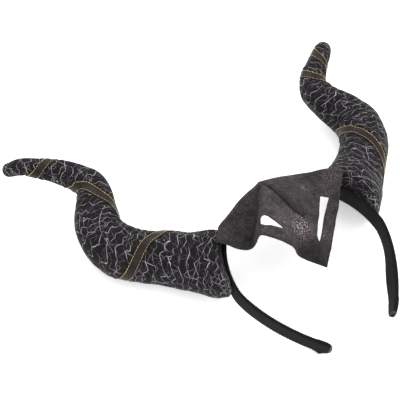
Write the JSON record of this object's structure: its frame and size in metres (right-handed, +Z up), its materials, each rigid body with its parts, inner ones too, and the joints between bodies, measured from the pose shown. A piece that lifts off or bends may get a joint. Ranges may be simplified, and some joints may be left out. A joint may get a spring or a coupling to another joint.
{
  "type": "ox horn headband",
  "caption": "Costume headband: a ribbon-wrapped band carrying curved stuffed cloth horns wound with stitched strips, and a slotted suede cloth flap hung from the band between them.",
  "frame": {"origin": "on the floor under the middle of the headband's box as it lies on its back", "axes": "+X from the left horn's tip to the right horn's, +Y from the band's ends to the horns' tips, +Z up from the floor"},
  "size_m": [0.3344, 0.2768, 0.0638],
  "materials": {
    "ribbed_ribbon": "black ribbed ribbon wrapped round a springy plastic band",
    "printed_cloth": "near-black cloth with a fine pale crackle print",
    "strip_leather": "dark imitation leather with a gold thread along each edge",
    "suede_cloth": "charcoal brown suede cloth with cut edges"
  },
  "bodies": {
    "root": {"band": "ribbed_ribbon", "left_horn": "printed_cloth", "right_horn": "printed_cloth", "left_strip": "strip_leather", "right_strip": "strip_leather", "flap": "suede_cloth"}
  },
  "joints": []
}
